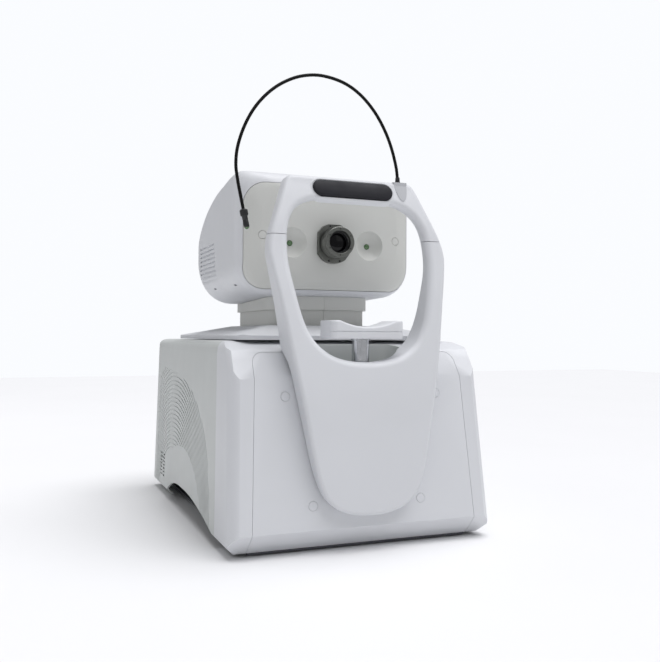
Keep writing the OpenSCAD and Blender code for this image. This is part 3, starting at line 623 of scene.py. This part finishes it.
def build_objective():
    """Stepped, grooved objective rings with a plain front bezel, a dark throat and a crowned lens."""
    profile = [(14, -150), (14, -158.5), (14.6, -159.3), (15.2, -162.4), (15.8, -163), (19.8, -163),
               (20.4, -162.5), (20.5, -161.8), (20.5, -158), (20.1, -157.6), (19.2, -157.4), (19.2, -156.6),
               (20.3, -156.2), (20.3, -151.6), (19.4, -151.2), (19.4, -150.4), (20.4, -150), (20.4, -145.4),
               (19.2, -145), (19.2, -144.2), (20.2, -143.8), (20.2, -141.4), (19, -141.2), (19, -90),
               (14, -90)]
    finish_piece(ring("objective_rings", profile), "head", "lens_metal", ["objective_barrel"], angle=28)
    throat = [(13.95, -158.4), (13.0, -157.8), (13.0, -152.5), (12.2, -152), (12.2, -140), (13.95, -140)]
    finish_piece(ring("objective_throat", throat), "head", "black_metal")
    crown = [(LENS_R, LENS_Y)]
    for degrees in range(0, 91, 9):
        a = math.radians(degrees)
        crown.append((LENS_R * math.cos(a), LENS_Y - LENS_CROWN * math.sin(a)))
    turn = [2 * math.pi * k / 64 for k in range(64)]
    glass = [[(r * math.cos(t), y, AXIS_Z + r * math.sin(t)) for t in turn] for r, y in crown]
    finish_piece(loft("front_lens", glass, caps=True), "head", "coated_glass", ["objective_lens"])


# ---------- face frame ----------

SEAM_Z = 384.5
SEAM_GAP = 0.35
# The frame's and the base's front and the frame's back, each as (z, y)
FRAME_FRONT = [(38, -271.5), (100, -270.5), (140, -268), (180, -266), (200, -264), (240, -257.8),
               (280, -250.5), (320, -242), (360, -231.5), (400, -222), (440, -208), (459, -200), (468, -198)]
FRAME_BACK = [(38, -230), (200, -208), (250, -213), (300, -215), (345, -214), (370, -210), (401, -203),
              (443, -186), (468, -178)]
BASE_FRONT = joined([(30, -261), (208, -237.6)],
                    bezier((212, -237), (232, -234), (243, -222), (249.5, -190), 8))
BASE_TOP = 250
BASE_CLEARANCE = 0.3


def smooth_value(curve, where):
    """value_at, averaged over a short stretch so that the curve's corners are rounded off."""
    reach = 9.0
    return sum(value_at(curve, where + reach * k / 4) for k in range(-4, 5)) / 9


def frame_surfaces(z):
    """The frame's front and back at height z; low down its back lies on the base."""
    back = smooth_value(FRAME_BACK, z)
    if z < BASE_TOP:
        back = min(back, value_at(BASE_FRONT, z) - BASE_CLEARANCE)
    return smooth_value(FRAME_FRONT, z), back


def frame_loops():
    """The frame's outer and inner outlines as matching points, (x, z), round from the foot."""
    outer = joined(bezier((0, 43.5), (32, 43.5), (50, 52), (61, 69), 12),
                   bezier((61, 69), (69, 82), (74.5, 104), (80, 136), 10),
                   bezier((80, 136), (84, 160), (91, 196), (99.3, 240), 12),
                   bezier((99.3, 240), (105, 272), (109, 298), (114.5, 324), 12),
                   bezier((114.5, 324), (117.5, 340), (120.2, 352), (120.7, 362), 6),
                   bezier((120.7, 362), (120.8, 378), (115, 392), (111.8, 400), 6),
                   straight((111.8, 400), (95.7, 442), 6),
                   bezier((95.7, 442), (90, 457), (88, 463.5), (78, 463.5), 8),
                   straight((78, 463.5), (0, 463.5), 12))
    inner = joined(bezier((0, 228.3), (34, 228.3), (54, 236), (69, 255), 26),
                   bezier((69, 255), (78, 267), (83, 284), (86.6, 302), 10),
                   bezier((86.6, 302), (91.5, 326), (95.5, 342), (95.5, 362), 14),
                   bezier((95.5, 362), (95.5, 380), (94, 394), (89, 406), 10),
                   bezier((89, 406), (82, 422), (66, 432.5), (38, 433.6), 16),
                   straight((38, 433.6), (0, 434), 8))
    rounds = []
    for half in (outer, inner):
        rounds.append(half + [(-x, z) for x, z in reversed(half[1:-1])])
    return rounds


def inset_points(points, distance):
    """Moves each point of a closed outline sideways; positive is to the left of its direction."""
    moved = []
    n = len(points)
    for i, (x, z) in enumerate(points):
        ax, az = points[i - 1]
        bx, bz = points[(i + 1) % n]
        length = math.hypot(bx - ax, bz - az)
        moved.append((x - (bz - az) / length * distance, z + (bx - ax) / length * distance))
    return moved


# Radii of the frame's front and back rims, outer and inner
FRONT_ROUNDS = (5.0, 8.0)
BACK_ROUNDS = (2.5, 6.0)
RIM_STEPS = 6
SPAN_STEPS = 12
THICKEST_ROUND = 0.46


def frame_skin():
    """The whole frame as one closed surface: rounded rims joined across the front and the back."""
    outer, inner = frame_loops()
    quarter = [math.radians(90 * k / RIM_STEPS) for k in range(RIM_STEPS + 1)]

    def rim(points, radius, side, front):
        """Rings from the rim's wall onto the face."""
        rings = []
        for a in quarter:
            flat = inset_points(points, side * radius * (1 - math.cos(a)))
            ring_points = []
            for x, z in flat:
                y_front, y_back = frame_surfaces(z)
                reach = min(radius, THICKEST_ROUND * (y_back - y_front))
                drop = reach * (1 - math.sin(a))
                ring_points.append((x, y_front + drop if front else y_back - drop, z))
            rings.append(ring_points)
        return rings

    def face(front, r_outer, r_inner):
        """One side of the frame, from the outer rim's wall to the inner rim's wall."""
        first = rim(outer, r_outer, 1, front)
        last = rim(inner, r_inner, -1, front)
        rings = first[:]
        for k in range(1, SPAN_STEPS):
            t = k / SPAN_STEPS
            span = []
            for p, q in zip(first[-1], last[-1]):
                x, z = p[0] + (q[0] - p[0]) * t, p[2] + (q[2] - p[2]) * t
                span.append((x, frame_surfaces(z)[0 if front else 1], z))
            rings.append(span)
        return rings + last[::-1]

    around = face(True, *FRONT_ROUNDS) + face(False, *BACK_ROUNDS)[::-1]
    return loft("face_frame", around, ring=True)


def sliced(obj, name, height, above):
    """The part of a closed solid above or below a level, closed again."""
    part = copied(obj, name)
    bm = bmesh.new()
    bm.from_mesh(part.data)
    result = bmesh.ops.bisect_plane(bm, geom=bm.verts[:] + bm.edges[:] + bm.faces[:], dist=1e-7,
                                    plane_co=(0, 0, height * MM), plane_no=(0, 0, 1),
                                    clear_inner=above, clear_outer=not above)
    edges = [e for e in result["geom_cut"] if isinstance(e, bmesh.types.BMEdge)]
    bmesh.ops.edgeloop_fill(bm, edges=edges)
    bmesh.ops.recalc_face_normals(bm, faces=bm.faces)
    bm.to_mesh(part.data)
    bm.free()
    return part


def build_frame():
    skin = frame_skin()
    lower = sliced(skin, "frame_body", SEAM_Z - SEAM_GAP, False)
    cap = sliced(skin, "frame_top", SEAM_Z + SEAM_GAP, True)
    bpy.data.objects.remove(skin)
    cut(lower, rod_along_z("t", 0, CHIN_Y, *DRIVE_POCKET_Z, DRIVE_POCKET_R))
    for part, node in ((lower, "frame_lower"), (cap, "frame_cap")):
        finish_piece(part, "base", "cover_white", [node], 0.3, 50)


# ---------- forehead pad ----------

PAD_PLACE = (0, -203, 447)
PAD_LEAN = 20.0
PAD_HALF = (55.5, 11.5)
PAD_EDGE = 2.6


def on_pad(x, up, out):
    """A point on the leaning pad face: across, up along it and out towards the patient."""
    lean = math.radians(PAD_LEAN)
    px, py, pz = PAD_PLACE
    cos, sin = math.cos(lean), math.sin(lean)
    return px + x, py + up * sin - out * cos, pz + up * cos + out * sin


def stadium(grow, out, steps=20):
    """A long rounded outline around the pad, grown sideways and raised."""
    half_l, half_h = PAD_HALF
    centre = half_l - half_h
    radius = half_h + grow
    points = []
    for side, first in ((1, -90), (-1, 90)):
        for k in range(steps + 1):
            a = math.radians(first + 180 * k / steps)
            points.append(on_pad(side * centre + radius * math.cos(a), radius * math.sin(a), out))
    return points


def build_pad():
    """The bracket's raised lip and the crowned silicone pad inside it, as (grow, out) sections."""
    lip = [(0.35, -3.6), (0.35, 0.9), (0.7, 1.8), (1.4, 2.25), (2.7, 2.2), (3.7, 1.5), (4.3, 0.4),
           (4.5, -0.8), (4.5, -7)]
    finish_piece(loft("pad_bracket", [stadium(g, out) for g, out in lip], ring=True), "base", "cover_white",
                 ["forehead_bracket"], angle=50)
    section = [(-1.1, -3.8), (-0.7, -2.4), (-0.2, -0.6), (0.0, 1.2), (0.0, PAD_EDGE)]
    for a in (math.radians(degrees) for degrees in (20, 40, 60, 80)):
        section.append((-PAD_EDGE * (1 - math.cos(a)), PAD_EDGE + PAD_EDGE * math.sin(a)))
    section += [(-3.6, 5.4), (-5.5, 5.75), (-8.0, 6.0), (-10.4, 6.05)]
    pad = loft("forehead_cushion", [stadium(g, out) for g, out in section], caps=True)
    finish_piece(pad, "base", "pad_silicone", ["forehead_pad"], angle=60)


# ---------- chin rest ----------

CHIN = {"half": 49, "front": -257, "back": -210, "low": 257, "top": 279.5, "scoop_r": 92, "scoop": 8}
CHIN_SEAM = CHIN["low"] + 9
CHIN_CORNER = 9.0
CHIN_Y = -230
POST_R = 11
POST_LOW = 182
# The hole in the face frame's lower part that the chin post's drive stands in
DRIVE_POCKET_R = 17.4
DRIVE_POCKET_Z = (119.6, 245)
# Slices just inside and outside the scoop's ends, so that its edge is crisp
SCOOP_ENDS = (37.4, 37.6)


def chin_section(x):
    """One slice of the chin cup, in Y and Z, with rounded corners and the seam's groove."""
    edge = max(0.0, abs(x) - (CHIN["half"] - CHIN_CORNER))
    pull = CHIN_CORNER - math.sqrt(max(CHIN_CORNER ** 2 - edge * edge, 0.0))
    y0, y1 = CHIN["front"] + pull, CHIN["back"] - pull
    top = CHIN["top"]
    rise = CHIN["scoop_r"] ** 2 - x * x
    if rise > (CHIN["scoop_r"] - CHIN["scoop"]) ** 2:
        top = CHIN["top"] - CHIN["scoop"] + CHIN["scoop_r"] - math.sqrt(rise)
    low, seam = CHIN["low"], CHIN_SEAM
    front = [(2.5, low), (0.9, low + 0.6), (0.2, low + 2), (0, low + 4),
             (0, seam - 0.7), (0.9, seam - 0.35), (0.9, seam + 0.35), (0, seam + 0.7),
             (0, top - 2.6), (0.3, top - 1.3), (1.2, top - 0.3), (2.6, top)]
    back = [(y1 - inward, z) for inward, z in reversed(front)]
    return [(x, y, z) for y, z in [(y0 + inward, z) for inward, z in front] + back]


def build_chin():
    half = CHIN["half"]
    places = {round(half * math.sin(math.radians(2.5 * k)), 3) for k in range(-36, 37)}
    places = sorted(places | {s * x for s in SIDES for x in SCOOP_ENDS})
    places[0], places[-1] = -half + 0.02, half - 0.02
    cup = loft("chin_cup", [chin_section(x) for x in places], caps=True)
    finish_piece(cup, "chin", "cover_white", ["chin_rest"], angle=38)
    turn = [2 * math.pi * k / 64 for k in range(64)]
    profile = [(POST_R - 0.6, POST_LOW), (POST_R, POST_LOW + 0.6), (POST_R, CHIN["low"] - 2.4),
               (POST_R + 1.2, CHIN["low"] - 2.2), (POST_R + 1.2, CHIN["low"] + 0.5)]
    loops = [[(r * math.cos(a), CHIN_Y + r * math.sin(a), z) for a in turn] for r, z in profile]
    finish_piece(loft("chin_post", loops, caps=True), "chin", "ground_steel")


# ---------- gooseneck ----------

SOCKET_X = 69.8
SOCKET_Y = -192
# The gooseneck's middle line as (x, z), from its socket to the lamp
ROUTE = [(SOCKET_X, 468), (67.5, 486), (60, 512), (49, 536), (34, 558), (14, 577), (-10, 589.5),
         (-40, 594.5), (-67, 590.5), (-91, 579.5), (-111, 564), (-128, 544), (-141, 520), (-149.5, 494),
         (-151.8, 472), (-149.4, 452), (-145.8, 434), (-142, 416)]
# The point of the route where the hose's two visible pieces meet
HALFWAY = 9
NECK_R = 2.2
NECK_SIDES = 14
RIB_PITCH = 2.0
# How far in the surface is at the crown, flank, foot and flank of a rib
RIB = (0, 0.1, 0.28, 0.1)


def on_route(t):
    """The smooth curve through the route; whole values of t are its points."""
    i = min(int(t), len(ROUTE) - 2)
    u = t - i
    a, b, c, d = (ROUTE[max(0, min(len(ROUTE) - 1, j))] for j in (i - 1, i, i + 1, i + 2))
    return [0.5 * (2 * q + (r - p) * u + (2 * p - 5 * q + 4 * r - s) * u * u
                   + (3 * q - p - 3 * r + s) * u ** 3) for p, q, r, s in zip(a, b, c, d)]


def heading(t):
    a, b = on_route(max(t - 0.01, 0)), on_route(min(t + 0.01, len(ROUTE) - 1))
    length = math.dist(a, b)
    return (b[0] - a[0]) / length, (b[1] - a[1]) / length


def hose(name, t0, t1):
    """A ribbed tube along the route, with a ring at the crown, flanks and foot of every rib."""
    samples = [t0 + (t1 - t0) * k / 600 for k in range(601)]
    run = [0.0]
    for a, b in zip(samples, samples[1:]):
        run.append(run[-1] + math.dist(on_route(a), on_route(b)))
    rings = int(run[-1] / RIB_PITCH) * len(RIB)
    turn = [2 * math.pi * j / NECK_SIDES for j in range(NECK_SIDES)]
    loops = []
    for k in range(rings + 1):
        t = value_at(list(zip(run, samples)), run[-1] * k / rings)
        (px, pz), (hx, hz) = on_route(t), heading(t)
        radius = NECK_R - RIB[k % len(RIB)]
        loops.append([(px + radius * math.cos(a) * hz, SOCKET_Y + radius * math.sin(a),
                       pz - radius * math.cos(a) * hx) for a in turn])
    return loft(name, loops, caps=True)


def hose_piece(name, t0, t1, nodes):
    """A length of hose along a stretch of the route, given to no body, with its transform baked in."""
    piece = hose(name, t0, t1)
    finish_piece(piece, None, "hose_black", nodes, angle=70)
    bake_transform(piece)


def build_gooseneck():
    last = len(ROUTE) - 1
    hose_piece("lamp_hose_root", 0, HALFWAY, ["gooseneck_root"])
    hose_piece("lamp_hose_tip", HALFWAY, last, ["gooseneck_tip", "gooseneck_middle"])
    sleeve = [(3.0, 451), (3.3, 451.5), (3.3, 465.5), (3.1, 467.5), (2.8, 471.5), (2.2, 471.8)]
    turn = [2 * math.pi * k / 32 for k in range(32)]
    loops = [[(SOCKET_X + r * math.cos(a), SOCKET_Y + r * math.sin(a), z) for a in turn] for r, z in sleeve]
    finish_piece(loft("lamp_sleeve", loops, caps=True), "lamp_root", "black_plastic")


LAMP_SIDES = 36
# Depth of the knurled ring's grooves, and where along the lamp they run
KNURL = 0.22
KNURL_RUN = (1, 7)


def lamp_rings(section, knurled=False):
    """Rings along the hose's end direction, from (radius, distance past the hose's end)."""
    end_x, end_z = on_route(len(ROUTE) - 1)
    hx, hz = heading(len(ROUTE) - 1)
    loops = []
    for r, d in section:
        loop = []
        grooved = knurled and KNURL_RUN[0] < d < KNURL_RUN[1]
        for k in range(LAMP_SIDES):
            a = 2 * math.pi * k / LAMP_SIDES
            radius = r - (KNURL if grooved and k % 2 else 0)
            loop.append((end_x + hx * d + radius * math.cos(a) * hz, SOCKET_Y + radius * math.sin(a),
                         end_z + hz * d - radius * math.cos(a) * hx))
        loops.append(loop)
    return loops


def build_lamp():
    """Collar, knurled ring, body and rounded window of the fixation lamp."""
    profile = [(2.2, -1.0), (3.4, -0.6), (4.9, 0.6), (5.0, 1.4), (5.0, 6.6), (4.8, 7.4), (3.9, 8.0),
               (3.6, 8.4), (3.6, 12.4), (3.3, 12.8), (3.3, 13.4), (3.6, 13.8), (3.6, 20.6), (3.4, 21.8)]
    body = loft("lamp_body", lamp_rings(profile, knurled=True), caps=True)
    finish_piece(body, "lamp_end", "black_metal", ["lamp_head"], angle=40)
    dome = [(3.1, 21.4)]
    for a in (math.radians(degrees) for degrees in (0, 18, 36, 54, 72, 86)):
        dome.append((3.1 * math.cos(a), 21.8 + 2.8 * math.sin(a)))
    window = loft("lamp_window", lamp_rings(dome), caps=True)
    finish_piece(window, "lamp_end", "window_glass", angle=50)


# ---------- CAD nodes that keep their own shape ----------

# Width of the softened edges, in millimetres
SOFT_EDGES = {
    "front_housing": 0.9, "rear_cover": 0.8, "top_deck": 0.6, "access_panel": 0.6, "panel_plugs": 0.4,
    "left_side_cover": 0.5, "right_side_cover": 0.5, "stage_cover": 1.2, "chin_well": 1.2,
    "lower_neck_left": 0.5, "lower_neck_right": 0.5, "upper_neck_left": 0.7, "upper_neck_right": 0.7,
    "lamp_socket": 0.5, "objective_flange": 0.4, "power_inlet": 0.4, "power_rocker": 0.5,
    "signal_sockets": 0.4, "chin_drive": 0.6, "base_plate": 0.5, "feet": 0.3,
}


def dress_nodes():
    """Gives every CAD node its slot's material and its softened edges."""
    slots = {part["node"]: part["material_slot"] for part in frame["record"]["subparts"]}
    for node, obj in frame["nodes"].items():
        obj.data.materials.clear()
        obj.data.materials.append(MATERIALS[slots[node]])
        smooth(obj, 30)
        if node in SOFT_EDGES:
            soften(obj, SOFT_EDGES[node])


MATERIALS = make_materials()
add_camera()
add_studio()
dress_nodes()
build_head()
build_objective()
build_frame()
build_pad()
build_chin()
build_gooseneck()
build_lamp()
